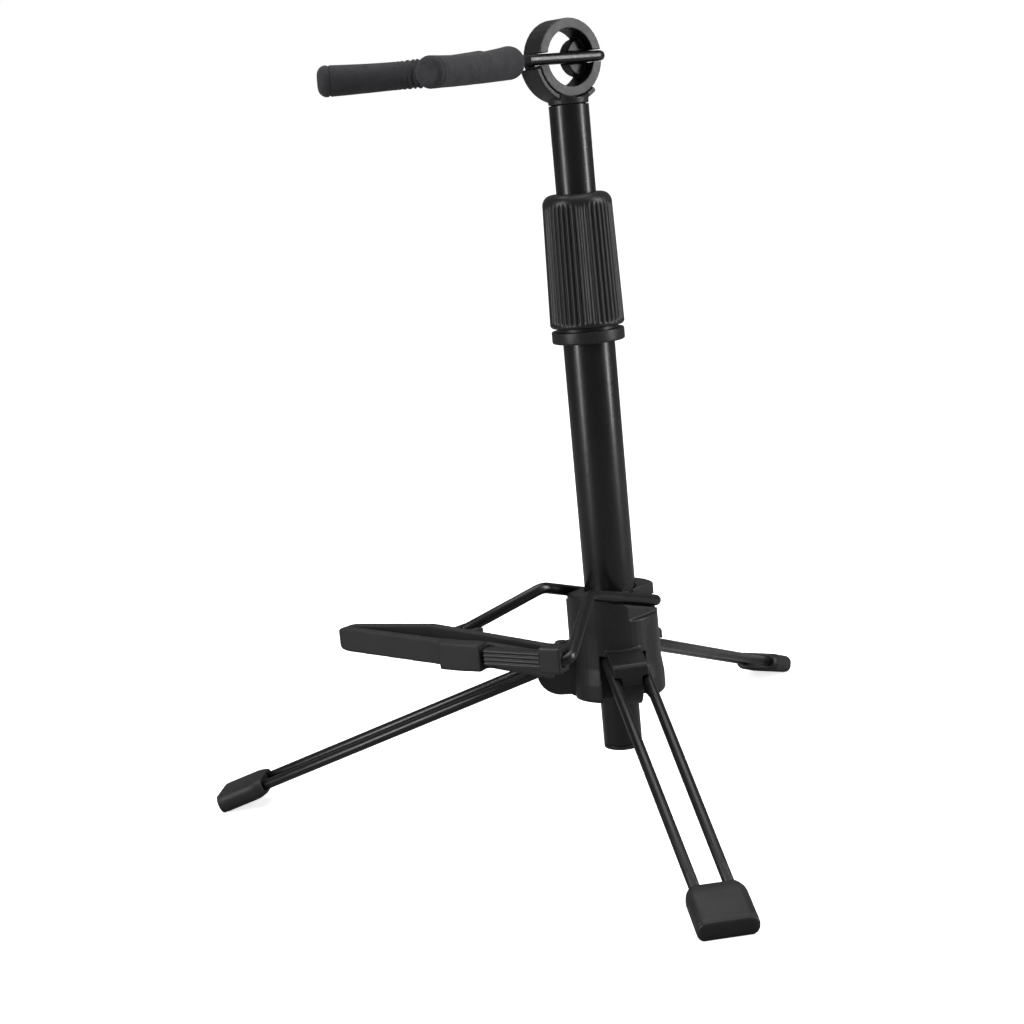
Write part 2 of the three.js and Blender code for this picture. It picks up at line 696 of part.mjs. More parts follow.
// The straight grip between the near socket and the cuff, with its lengthwise ridges.
function cradleGrip() {
  const along = at(GRIP_START[0] - GRIP_END[0], GRIP_START[1] - GRIP_END[1], 0).normalize();
  const start = at(...GRIP_START, 0).addScaledVector(along, -GAP);
  const stop = at(...GRIP_END, 0).addScaledVector(along, 3 * GAP);
  const corners = [[start.x, start.y], [stop.x, stop.y]];
  let grip = solid(strap(corners, GRIP_THICK, GRIP_HEIGHT, 1));
  const pitch = GRIP_HEIGHT / GRIP_RIDGES;
  for (let k = 0; k < GRIP_RIDGES; k += 1) {
    const ridge = strap(corners, RIDGE_THICK, pitch * 0.55, 1);
    grip = grip.add(solid(ridge.translate(0, 0, (k + 0.5 - GRIP_RIDGES / 2) * pitch)));
  }
  return surface(grip.translate([0, 0, -GRIP_DROP]));
}

function nearSocket(around) {
  const [x, y] = NEAR_END;
  const body = strap([GRIP_START, [x, y - 3]], SOCKET_THICK, SOCKET_HEIGHT, 1);
  return surface(solid(body.translate(0, 0, -SOCKET_DROP)).subtract(around));
}

// The clip on the pad's back band, which takes the wire's far end.
function farSocket(around) {
  const clip = solid(block(62, 73, -41, -29, PAD_Z - 5.6, PAD_Z + 3.6));
  const band = solid(strap([[97, -100], [76.7, -47.4], [66, 21]], PAD_THICK + 2 * GAP, 40, PAD_BEND));
  const beyond = solid(block(74, 90, -60, 0, PAD_Z - 20, PAD_Z + 20));
  return surface(clip.subtract(around).subtract(band).subtract(beyond));
}

function cradleParts() {
  const path = cradlePoints();
  const around = solid(wire(path, CRADLE_WIRE_R + GAP, WIRE_BENDS));
  add('cradle_wire', wire(path, CRADLE_WIRE_R, WIRE_BENDS), 'paint', cradle);
  add('cradle_pad', cradlePad(), 'rubber', cradle);
  add('cradle_socket_near', nearSocket(around), 'nylon', cradle);
  add('cradle_grip', cradleGrip(), 'nylon', cradle);
  add('cradle_socket_far', farSocket(around), 'nylon', cradle);
  const knob = disc(KNOB_R, ...KNOB_SPAN, 20).translate(...KNOB, 0);
  add('cradle_end_knob', knob, 'nylon', cradle);
}

tubes();
clamp();
hub();
legs();
headCup();
forkDrum();
fork();
cradleParts();

stand.updateMatrixWorld(true);
const box = new THREE.Box3().setFromObject(stand, true);
const middle = box.getCenter(new THREE.Vector3());
stand.position.set(-middle.x, -middle.y, -box.min.z);
stand.updateMatrixWorld(true);

export default stand;
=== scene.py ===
"""Folding saxophone stand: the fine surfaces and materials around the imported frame."""

import json
import math

import bpy
from mathutils import Matrix, Vector, noise

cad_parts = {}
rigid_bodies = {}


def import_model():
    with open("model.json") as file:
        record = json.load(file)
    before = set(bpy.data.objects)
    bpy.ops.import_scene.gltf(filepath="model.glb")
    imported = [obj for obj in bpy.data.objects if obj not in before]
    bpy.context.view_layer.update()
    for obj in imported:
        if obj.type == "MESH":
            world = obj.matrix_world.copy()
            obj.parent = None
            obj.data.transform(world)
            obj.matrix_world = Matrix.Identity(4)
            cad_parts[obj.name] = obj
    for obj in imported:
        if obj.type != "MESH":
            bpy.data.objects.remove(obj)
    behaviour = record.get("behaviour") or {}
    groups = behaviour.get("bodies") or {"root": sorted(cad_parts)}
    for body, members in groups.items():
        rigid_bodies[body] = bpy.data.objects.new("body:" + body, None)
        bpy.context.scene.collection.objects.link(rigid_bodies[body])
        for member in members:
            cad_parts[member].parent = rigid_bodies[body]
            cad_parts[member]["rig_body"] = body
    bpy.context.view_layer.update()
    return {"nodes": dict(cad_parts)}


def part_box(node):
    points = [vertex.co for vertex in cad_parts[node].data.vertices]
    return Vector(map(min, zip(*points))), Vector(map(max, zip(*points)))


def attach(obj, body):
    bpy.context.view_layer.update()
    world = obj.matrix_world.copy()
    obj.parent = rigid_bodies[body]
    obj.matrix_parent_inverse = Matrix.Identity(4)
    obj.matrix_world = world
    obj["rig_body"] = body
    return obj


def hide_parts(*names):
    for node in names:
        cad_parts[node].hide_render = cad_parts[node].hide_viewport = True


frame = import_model()

# ---- Driving dimensions, metres; heights are measured as in the frame's post ----
MM = 0.001
OUTER_R = 12.5 * MM
OUTER_WALL = 1.3 * MM
INNER_R = 9.5 * MM
INNER_WALL = 1.2 * MM
COLLAR_R = 17.5 * MM
COLLAR_THICK = 5.8 * MM
THREAD_R = 14.7 * MM
THREAD_PITCH = 2.5 * MM
THREAD_DEPTH = 0.7 * MM
GAP = 0.3 * MM  # running clearance between nested pieces
TUBE_LIP = 0.35 * MM
AXIS_R = 0.01 * MM  # how near to the axis a turned outline closes
PLUG_THICK = 2 * MM
PLUG_DISH = 0.5 * MM
NUT_BOTTOM_R = 17.9 * MM
NUT_TOP_R = 16.5 * MM
NUT_RIBS = 40
NUT_RIB_DEPTH = 0.75 * MM
NUT_SHOULDER = 5 * MM
NUT_NECK_R = 10 * MM
NUT_NECK = 10 * MM
NUT_CONE_Z = 24 * MM  # up to here the bore is straight
NUT_HEM = 1.4 * MM
NUT_HEM_DROP = 0.9 * MM
NUT_RIB_LOW = 1.6 * MM  # plain band under the ribs
NUT_RIB_LOW_FADE = 1.2 * MM
NUT_RIB_HIGH = 4.2 * MM  # plain band over the ribs
NUT_RIB_HIGH_FADE = 2.6 * MM
NUT_RIB_STEPS = 14
NUT_ROUND_FROM = 7.4 * MM  # closer rings from here to the top

LEG_AZIMUTHS = {"front": -80, "left": 176, "right": 64}
LEG_SLOPE = math.radians(19.15)
LEG_LENGTH = 203.5 * MM
LEG_PIVOT_R = 14 * MM
LEG_PIVOT_Z = 71.5 * MM
LEG_WIRE_R = 2.5 * MM
LEG_SPREAD_HUB = 8.3 * MM
LEG_SPREAD_FOOT = 7.2 * MM
LEG_BEND = 3.2 * MM
FOOT_OVERLAP = 9 * MM  # from the end of a rod to the tip of its foot
FOOT_LENGTH = 25 * MM
FOOT_HALF = 13.1 * MM
FOOT_HALF_THICK = 4.9 * MM
FOOT_SHOULDER = 6.5 * MM
FOOT_NOSE = 1.6 * MM
FOOT_NOSE_DROP = 1.2 * MM
FOOT_CREASE = 0.3 * MM
FOOT_CREASE_FROM_END = 2.1 * MM
FOOT_CREASE_WIDTH = 0.35 * MM

RING_Z = 356.5 * MM
RING_AZIMUTH = math.radians(37.5)
FORK_WIRE_R = 2.5 * MM
FORK_HALF_GAP = 2.9 * MM
FORK_TURN = 20 * MM
FORK_SPLAY_AT = 24 * MM
FORK_TIP = 101 * MM
FORK_TIP_SIDE = 42 * MM
FORK_NEAR_DROP = 3.6 * MM
FORK_FAR_DROP = 1 * MM
FORK_BEND = 2.89 * MM
FOAM_LENGTH = 81.5 * MM
FOAM_OVERHANG = 7.5 * MM
FOAM_SAG = 0.9 * MM
FOAM_DOME = 7 * MM
FOAM_CREASE = 0.5 * MM
FOAM_CREASE_BEYOND = 1.1 * MM  # from the end of the rounded tip
FOAM_CREASE_WIDTH = 0.4 * MM
FOAM_FOLD = 0.42 * MM
FOAM_FOLD_PITCH = 2.3 * MM
FOAM_FOLD_REACH = 6.5 * MM
FOAM_ROUGHNESS = 0.05 * MM
FOAM_SIDES = 72

CRADLE_AZIMUTH = math.radians(230)
CRADLE_WIRE_R = 2.75 * MM
CRADLE_BENDS = [4.5 * MM, 9 * MM, 4.5 * MM, 4.5 * MM, 9 * MM]
CRADLE_HALF = 16.3 * MM
CRADLE_PIVOT = (-17.2 * MM, 92.5 * MM)  # reach and height, as for the knees
NEAR_KNEE = (35 * MM, 107.4 * MM)
FAR_KNEE = (31.2 * MM, 107.6 * MM)
PAD_Z = 91.5 * MM
NEAR_END = (79.8 * MM, 39.5 * MM, PAD_Z - 2.4 * MM)
FAR_END = (70.2 * MM, -34.9 * MM, PAD_Z + 2.2 * MM)
GRIP_WAY = (6.3, -30.2, 0)
GRIP_HOLD = 12 * MM  # how far the wire goes into the grip
PAD_TIP_Y = -84.5 * MM
PAD_TIP_REACH = 8.6 * MM

CAMERA_DISTANCE = 954.4 * MM
CAMERA_HEIGHT = 323.4 * MM
CAMERA_PAN = math.radians(-2.669)
CAMERA_TILT = math.radians(10.666)
CAMERA_ROLL = math.radians(5.398)
CAMERA_LENS = 69.99
FLOOR_REACH = 40.0

OUTER_BOTTOM_Z = 84 * MM  # the post tube's lower end, from which the other heights are set out

outer_low, outer_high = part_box("outer_tube")
POST = (outer_low + outer_high) / 2
BASE = outer_low.z - OUTER_BOTTOM_Z


def post_frame(azimuth=0.0, height=0.0):
    """A frame on the post's axis, turned to an azimuth and raised to a height."""
    place = Matrix.Translation((POST.x, POST.y, BASE + height))
    return place @ Matrix.Rotation(azimuth, 4, "Z")


# ---- Mesh helpers ----
def show(obj):
    bpy.context.scene.collection.objects.link(obj)
    return obj


def piece(name, verts, faces, material, body, replaced, place=Matrix.Identity(4)):
    """A smooth mesh that rides on a body and stands for one or more CAD nodes."""
    mesh = bpy.data.meshes.new(name)
    mesh.from_pydata([tuple(place @ Vector(v)) for v in verts], [], faces)
    mesh.validate()
    return finish_piece(name, mesh, material, body, replaced)


def finish_piece(name, mesh, material, body, replaced):
    """The mesh as a shown piece, attached to its body, with the CAD nodes it replaces hidden."""
    mesh.materials.clear()
    mesh.materials.append(material)
    mesh.shade_smooth()
    obj = show(bpy.data.objects.new(name, mesh))
    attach(obj, body)
    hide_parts(*replaced)
    return obj


def rounded(outline, radius, steps=5):
    """A closed 2-D outline with its corners rounded; radius may be one value or one per corner."""
    count = len(outline)
    radii = [radius] * count if isinstance(radius, (int, float)) else radius
    result = []
    for i, corner in enumerate(outline):
        here = Vector(corner)
        back = Vector(outline[i - 1]) - here
        on = Vector(outline[(i + 1) % count]) - here
        run = min(radii[i], 0.45 * back.length, 0.45 * on.length)
        if run <= 0:
            result.append(here)
            continue
        start = here + back.normalized() * run
        end = here + on.normalized() * run
        for k in range(steps + 1):
            t = k / steps
            result.append(start.lerp(here, t).lerp(here.lerp(end, t), t))
    return result


def turned(outline, sides=96):
    """Vertices and faces of a closed (radius, height) outline turned about Z."""
    verts = []
    faces = []
    count = len(outline)
    for s in range(sides):
        a = 2 * math.pi * s / sides
        verts += [(r * math.cos(a), r * math.sin(a), z) for r, z in outline]
    for s in range(sides):
        here = s * count
        there = ((s + 1) % sides) * count
        for k in range(count):
            up = (k + 1) % count
            faces.append((here + k, there + k, there + up, here + up))
    return verts, faces


def bent(points, bends, steps=9):
    """Corner points joined by straight runs and round bends; bends may have a radius each."""
    points = [Vector(p) for p in points]
    if isinstance(bends, float):
        bends = [bends] * (len(points) - 2)
    nodes = [points[0]]
    for i in range(1, len(points) - 1):
        back = (points[i - 1] - points[i]).normalized()
        on = (points[i + 1] - points[i]).normalized()
        half = back.angle(on) / 2
        bend = bends[i - 1]
        run = bend / math.tan(half)
        centre = (back + on).normalized() * (bend / math.sin(half)) + points[i]
        start = points[i] + back * run - centre
        end = points[i] + on * run - centre
        sweep = math.pi - 2 * half
        for k in range(steps + 1):
            a = sweep * k / steps
            spot = start * math.sin(sweep - a) / math.sin(sweep) + end * math.sin(a) / math.sin(sweep)
            nodes.append(centre + spot)
    nodes.append(points[-1])
    return nodes


def skin(rings, sides, closed=False):
    """Faces between rings of points; a row that doesn't close on itself gets a cap at each end."""
    faces = []
    for i in range(rings if closed else rings - 1):
        up = (i + 1) % rings
        for s in range(sides):
            on = (s + 1) % sides
            faces.append((i * sides + s, i * sides + on, up * sides + on, up * sides + s))
    if not closed:
        faces.append(tuple(reversed(range(sides))))
        faces.append(tuple(range((rings - 1) * sides, rings * sides)))
    return faces


def swept(nodes, radii, sides=28, wave=None):
    """A round tube through nodes, with a radius at each; wave(i, angle) adds to the radius."""
    verts = []
    normal = (nodes[1] - nodes[0]).orthogonal().normalized()
    for i, node in enumerate(nodes):
        ahead = nodes[min(i + 1, len(nodes) - 1)]
        behind = nodes[max(i - 1, 0)]
        way = (ahead - behind).normalized()
        normal = (normal - way * normal.dot(way)).normalized()
        side = way.cross(normal)
        for s in range(sides):
            a = 2 * math.pi * s / sides
            r = radii[i] + (wave(i, a) if wave else 0.0)
            verts.append(node + (normal * math.cos(a) + side * math.sin(a)) * r)
    return verts, skin(len(nodes), sides)


def wire(name, points, r, bends, body, replaced, place):
    """A painted round wire with slightly chamfered ends."""
    nodes = bent(points, bends)
    chamfer = 0.5 * MM
    first = nodes[0] + (nodes[1] - nodes[0]).normalized() * chamfer
    last = nodes[-1] + (nodes[-2] - nodes[-1]).normalized() * chamfer
    nodes = [nodes[0], first, *nodes[1:-1], last, nodes[-1]]
    radii = [r - chamfer] + [r] * (len(nodes) - 2) + [r - chamfer]
    verts, faces = swept(nodes, radii)
    return piece(name, verts, faces, PAINT, body, replaced, place)


def moulded(node, material, voxel, passes, suffix="_moulding"):
    """The CAD node's own shape with the softly rounded edges of a moulding."""
    source = frame["nodes"][node]
    shape = source.data.copy()
    shape.materials.clear()
    work = show(bpy.data.objects.new(node + "_work", shape))
    remesh = work.modifiers.new("remesh", "REMESH")
    remesh.mode = "VOXEL"
    remesh.voxel_size = voxel
    smooth = work.modifiers.new("smooth", "SMOOTH")
    smooth.factor = 0.5
    smooth.iterations = passes
    graph = bpy.context.evaluated_depsgraph_get()
    mesh = bpy.data.meshes.new_from_object(work.evaluated_get(graph))
    bpy.data.objects.remove(work)
    mesh.name = node + suffix
    return finish_piece(node + suffix, mesh, material, source["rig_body"], [node])


# ---- Materials ----
def shader(name, colour, roughness, specular, coat=0.0, coat_roughness=0.2, sheen=0.0):
    """A material and its Principled shader; the colour and roughness may be varied later."""
    material = bpy.data.materials.new(name)
    material.use_nodes = True
    bsdf = material.node_tree.nodes["Principled BSDF"]
    bsdf.inputs["Base Color"].default_value = (*colour, 1)
    bsdf.inputs["Roughness"].default_value = roughness
    bsdf.inputs["Specular IOR Level"].default_value = specular
    bsdf.inputs["Coat Weight"].default_value = coat
    bsdf.inputs["Coat Roughness"].default_value = coat_roughness
    bsdf.inputs["Sheen Weight"].default_value = sheen
    return material, bsdf


def noise_node(material, scale, detail=4.0, roughness=0.55, stretch=(1, 1, 1)):
    """Noise by place in the object's own frame, in metres, with an optional stretch."""
    tree = material.node_tree
    coords = tree.nodes.new("ShaderNodeTexCoord")
    mapping = tree.nodes.new("ShaderNodeMapping")
    mapping.inputs["Scale"].default_value = stretch
    texture = tree.nodes.new("ShaderNodeTexNoise")
    texture.inputs["Scale"].default_value = scale
    texture.inputs["Detail"].default_value = detail
    texture.inputs["Roughness"].default_value = roughness
    tree.links.new(coords.outputs["Object"], mapping.inputs["Vector"])
    tree.links.new(mapping.outputs["Vector"], texture.inputs["Vector"])
    return texture


def vary_colour(material, bsdf, low, high, scale, stretch=(1, 1, 1)):
    """The base colour drifts between two tones."""
    tree = material.node_tree
    ramp = tree.nodes.new("ShaderNodeValToRGB")
    ramp.color_ramp.elements[0].position = 0.35
    ramp.color_ramp.elements[0].color = (*low, 1)
    ramp.color_ramp.elements[1].position = 0.68
    ramp.color_ramp.elements[1].color = (*high, 1)
    texture = noise_node(material, scale, stretch=stretch)
    tree.links.new(texture.outputs["Fac"], ramp.inputs["Fac"])
    tree.links.new(ramp.outputs["Color"], bsdf.inputs["Base Color"])


def vary_roughness(material, bsdf, low, high, scale, stretch=(1, 1, 1)):
    """The roughness drifts between two values."""
    tree = material.node_tree
    texture = noise_node(material, scale, stretch=stretch)
    spread = tree.nodes.new("ShaderNodeMapRange")
    spread.inputs["From Min"].default_value = 0.3
    spread.inputs["From Max"].default_value = 0.7
    spread.inputs["To Min"].default_value = low
    spread.inputs["To Max"].default_value = high
    tree.links.new(texture.outputs["Fac"], spread.inputs["Value"])
    tree.links.new(spread.outputs["Result"], bsdf.inputs["Roughness"])


def add_bump(material, bsdf, height, depth):
    """A bump of a depth in metres from a height output, laid over any bump already there."""
    tree = material.node_tree
    bump = tree.nodes.new("ShaderNodeBump")
    bump.inputs["Strength"].default_value = 1.0
    bump.inputs["Distance"].default_value = depth
    tree.links.new(height, bump.inputs["Height"])
    if bsdf.inputs["Normal"].is_linked:
        tree.links.new(bsdf.inputs["Normal"].links[0].from_socket, bump.inputs["Normal"])
    tree.links.new(bump.outputs["Normal"], bsdf.inputs["Normal"])


def paint_material():
    """Satin black powder paint on steel, with a faint orange peel."""
    material, bsdf = shader("black_paint", (0.004, 0.004, 0.0043), 0.3, 0.36, 0.1, 0.16)
    vary_colour(material, bsdf, (0.0035, 0.0035, 0.0038), (0.0055, 0.0055, 0.0059), 60)
    vary_roughness(material, bsdf, 0.26, 0.36, 180, (1, 1, 0.25))
    add_bump(material, bsdf, noise_node(material, 1500, 2).outputs["Fac"], 0.02 * MM)
    add_bump(material, bsdf, noise_node(material, 420, 1).outputs["Fac"], 0.03 * MM)
    return material


def plastic_material(name, low, high, rough_low, rough_high):
    """Moulded charcoal nylon with a fine spark-eroded grain and faint flow marks."""
    material, bsdf = shader(name, low, rough_low, 0.34)
    vary_colour(material, bsdf, low, high, 45)
    vary_roughness(material, bsdf, rough_low, rough_high, 90)
    add_bump(material, bsdf, noise_node(material, 2600, 3, 0.6).outputs["Fac"], 0.03 * MM)
    add_bump(material, bsdf, noise_node(material, 260, 1).outputs["Fac"], 0.04 * MM)
    return material


def foam_material():
    """Closed-cell foam rubber: matt, with small pores and a faint powdery sheen."""
    material, bsdf = shader("foam_rubber", (0.017, 0.017, 0.018), 0.8, 0.28, sheen=0.05)
    vary_colour(material, bsdf, (0.021, 0.0202, 0.0228), (0.030, 0.0288, 0.0325), 110)
    vary_roughness(material, bsdf, 0.66, 0.86, 300)
    tree = material.node_tree
    coords = tree.nodes.new("ShaderNodeTexCoord")
    pores = tree.nodes.new("ShaderNodeTexVoronoi")
    pores.feature = "F1"
    pores.inputs["Scale"].default_value = 2200
    tree.links.new(coords.outputs["Object"], pores.inputs["Vector"])
    add_bump(material, bsdf, pores.outputs["Distance"], 0.05 * MM)
    add_bump(material, bsdf, noise_node(material, 500, 3).outputs["Fac"], 0.09 * MM)
    return material


def rubber_material(name, low, high, rough_low, rough_high):
    """Smooth moulded rubber with a fine skin and a faint unevenness."""
    material, bsdf = shader(name, low, rough_low, 0.32)
    vary_colour(material, bsdf, low, high, 70)
    vary_roughness(material, bsdf, rough_low, rough_high, 140)
    add_bump(material, bsdf, noise_node(material, 1800, 4, 0.6).outputs["Fac"], 0.035 * MM)
    add_bump(material, bsdf, noise_node(material, 150, 2).outputs["Fac"], 0.06 * MM)
    return material


PAINT = paint_material()
HUB_PLASTIC = plastic_material("hub_nylon", (0.0085, 0.0085, 0.0093), (0.012, 0.012, 0.0131), 0.34, 0.46)
GRIP_PLASTIC = plastic_material("grip_nylon", (0.0085, 0.0085, 0.009), (0.012, 0.012, 0.013), 0.34, 0.46)
FOAM = foam_material()
PAD_RUBBER = rubber_material("pad_rubber", (0.011, 0.011, 0.012), (0.016, 0.016, 0.0172), 0.5, 0.62)
FOOT_RUBBER = rubber_material("foot_rubber", (0.0105, 0.0105, 0.0113), (0.015, 0.015, 0.0162), 0.42, 0.56)


# ---- Post and mast ----
def tube(name, inner, outer, low, high, body):
    """A painted round tube with slightly rounded rims."""
    outline = rounded([(inner, low), (outer, low), (outer, high), (inner, high)], TUBE_LIP)
    verts, faces = turned(outline)
    return piece(name + "_painted", verts, faces, PAINT, body, [name], post_frame())


def heights(node):
    """A node's lowest and highest points, as heights in the post's frame."""
    low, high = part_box(node)
    return low.z - BASE, high.z - BASE


def post_parts():
    """Both tubes and the plug that closes the mast."""
    tube("outer_tube", OUTER_R - OUTER_WALL, OUTER_R, *heights("outer_tube"), "base")
    tube("inner_tube", INNER_R - INNER_WALL, INNER_R, *heights("inner_tube"), "mast")
    low, high = heights("tube_end_plug")
    bore = INNER_R - INNER_WALL - GAP
    dish = low + PLUG_DISH
    rim = low + PLUG_THICK
    outline = [(AXIS_R, dish), (INNER_R * 0.55, dish), (INNER_R * 0.6, low), (INNER_R, low),
               (INNER_R, rim), (bore, rim), (bore, high), (AXIS_R, high)]
    radii = [0, 0.3 * MM, 0.3 * MM, 0.6 * MM, 0.1 * MM, 0, 0.8 * MM, 0]
    verts, faces = turned(rounded(outline, radii))
    piece("tube_end_plug_moulding", verts, faces, HUB_PLASTIC, "mast",
          ["tube_end_plug"], post_frame())


def collar():
    """The flange under the nut, with a round-crested thread above it."""
    low, high = heights("threaded_collar")
    bore = OUTER_R + GAP
    root = THREAD_R - THREAD_DEPTH
    top = low + COLLAR_THICK
    outline = [(bore, low), (COLLAR_R, low), (COLLAR_R, top), (THREAD_R, top)]
    radii = [0, 1.1 * MM, 0.7 * MM, 0.2 * MM]
    z = top + 1.5 * MM
    while z + THREAD_PITCH < high:
        outline += [(THREAD_R, z), (root, z + 0.4 * THREAD_PITCH), (THREAD_R, z + 0.8 * THREAD_PITCH)]
        radii += [0.1 * MM, 0.2 * MM, 0.1 * MM]
        z += THREAD_PITCH
    outline += [(root, high), (bore, high)]
    radii += [0, 0]
    verts, faces = turned(rounded(outline, radii))
    piece("threaded_collar_moulding", verts, faces, HUB_PLASTIC, "base",
          ["threaded_collar"], post_frame())


def nut_radius(z, low, high, angle):
    """The nut's outer radius: a slow taper, round ribs that fade at both ends, a round shoulder."""
    u = (z - low) / (high - low)
    taper = NUT_BOTTOM_R + (NUT_TOP_R - NUT_BOTTOM_R) * u
    above = max(0.0, z - (high - NUT_SHOULDER)) / NUT_SHOULDER
    drop = NUT_SHOULDER * (1 - math.sqrt(max(0.0, 1 - above * above)))
    hem = max(0.0, NUT_HEM - (z - low)) / NUT_HEM
    drop += NUT_HEM_DROP * hem * hem
    rise = min(1.0, max(0.0, (z - low - NUT_RIB_LOW) / NUT_RIB_LOW_FADE))
    fall = min(1.0, max(0.0, (high - NUT_RIB_HIGH - z) / NUT_RIB_HIGH_FADE))
    wave = 0.5 + 0.5 * math.cos(NUT_RIBS * angle)
    groove = NUT_RIB_DEPTH * (1 - wave ** 0.55) * rise * fall
    return taper - drop - groove


def circle(r, z, sides):
    """A ring of points about the post; r is a radius or a function of the angle."""
    points = []
    for s in range(sides):
        a = 2 * math.pi * s / sides
        reach = r(a) if callable(r) else r
        points.append((reach * math.cos(a), reach * math.sin(a), z))
    return points


def clamp_nut():
    """The ribbed nut, outside and bore, as one closed surface of rings."""
    low, high = heights("clamp_nut")
    sides = NUT_RIBS * NUT_RIB_STEPS
    levels = [low + t * MM for t in (0, 0.3, 0.7, 1.1, 1.6, 2.2, 2.8, 3.6)]
    start = levels[-1]
    stop = high - NUT_ROUND_FROM
    count = 16
    levels += [start + (stop - start) * (k + 1) / count for k in range(count)]
    levels += [stop + (high - stop) * math.sin(0.5 * math.pi * (k + 1) / count) for k in range(count)]
    bore = THREAD_R + GAP
    inner = [(NUT_NECK_R, high), (NUT_NECK_R, high - NUT_NECK), (bore, low + NUT_CONE_Z), (bore, low)]
    inner = rounded(inner, [0.6 * MM, 0, 0, 0.3 * MM], 3)
    verts = []
    for z in levels:
        ribbed = min(z, high - 0.02 * MM)
        verts += circle(lambda angle: nut_radius(ribbed, low, high, angle), z, sides)
    for r, z in inner:
        verts += circle(r, z, sides)
    faces = skin(len(levels) + len(inner), sides, closed=True)
    piece("clamp_nut_moulding", verts, faces, HUB_PLASTIC, "clamp_nut",
          ["clamp_nut"], post_frame())


# ---- Legs ----
def leg_point(along, side, up=0.0):
    """A place by its distance down the leg from the pivot, to the side and above the leg's plane."""
    return (LEG_PIVOT_R + along * math.cos(LEG_SLOPE) + up * math.sin(LEG_SLOPE), side,
            LEG_PIVOT_Z - along * math.sin(LEG_SLOPE) + up * math.cos(LEG_SLOPE))


def foot_section(half_width, half_thick, steps=8):
    """A rounded-rectangle section across the leg, with nearly full-round sides."""
    corner = 0.86 * half_thick
    points = []
    for qx, qz, start in ((1, 1, 0), (-1, 1, 90), (-1, -1, 180), (1, -1, 270)):
        for k in range(steps + 1):
            a = math.radians(start + 90 * k / steps)
            points.append((qx * (half_width - corner) + corner * math.cos(a),
                           qz * (half_thick - corner) + corner * math.sin(a)))
    return points


def foot(name, place):
    """A rubber shoe over both rods: soft shoulders, a crisp step to the end face, a flat sole."""
    stations = []
    count = 64
    for i in range(count + 1):
        along = FOOT_LENGTH * i / count
        left = FOOT_LENGTH - along
        shoulder = max(0.0, 1 - along / FOOT_SHOULDER)
        nose = min(1.0, max(0.0, 1 - left / FOOT_NOSE))
        turn = FOOT_NOSE_DROP * (1 - math.sqrt(1 - nose ** 2))
        width = FOOT_HALF - 1.9 * MM * shoulder ** 2.4 - turn
        thick = FOOT_HALF_THICK - 0.9 * MM * shoulder ** 2 - turn
        crease = FOOT_CREASE * math.exp(-((left - FOOT_CREASE_FROM_END) / FOOT_CREASE_WIDTH) ** 2)
        stations.append((along, width - crease, thick - crease))
    first, last = stations[0], stations[-1]
    stations.insert(0, (first[0] + 0.7 * MM, first[1] - 1.4 * MM, first[2] - 1.1 * MM))
    stations.append((last[0] - 0.25 * MM, last[1] - 1.5 * MM, last[2] - 1.4 * MM))
    sole = -BASE + 0.02 * MM
    verts = []
    for along, width, thick in stations:
        for side, up in foot_section(width, thick):
            r, y, z = leg_point(LEG_LENGTH - FOOT_LENGTH + along, side, up)
            verts.append((r, y, max(z, sole)))
    faces = skin(len(stations), len(verts) // len(stations))
    piece(f"foot_{name}_rubber", verts, faces, FOOT_RUBBER, f"leg_{name}",
          [f"foot_{name}"], place)


def legs():
    """Each leg is one hairpin of wire, whose cross bar is its pivot, and a rubber foot."""
    end = LEG_LENGTH - FOOT_OVERLAP
    route = [leg_point(end, LEG_SPREAD_FOOT), leg_point(0, LEG_SPREAD_HUB),
             leg_point(0, -LEG_SPREAD_HUB), leg_point(end, -LEG_SPREAD_FOOT)]
    for name, azimuth in LEG_AZIMUTHS.items():
        place = post_frame(math.radians(azimuth))
        wire(f"leg_wire_{name}_painted", route, LEG_WIRE_R, LEG_BEND, f"leg_{name}",
             [f"leg_wire_{name}"], place)
        foot(name, place)


# ---- Fork ----
def fork_route():
    """Corner points of the fork's hairpin, from the far tip round the turn to the near tip."""
    return [(-FORK_TIP, FORK_TIP_SIDE, -FORK_FAR_DROP), (-FORK_SPLAY_AT, FORK_HALF_GAP, 0),
            (FORK_TURN, FORK_HALF_GAP, 0), (FORK_TURN, -FORK_HALF_GAP, 0),
            (-FORK_SPLAY_AT, -FORK_HALF_GAP, 0), (-FORK_TIP, -FORK_TIP_SIDE, -FORK_NEAR_DROP)]


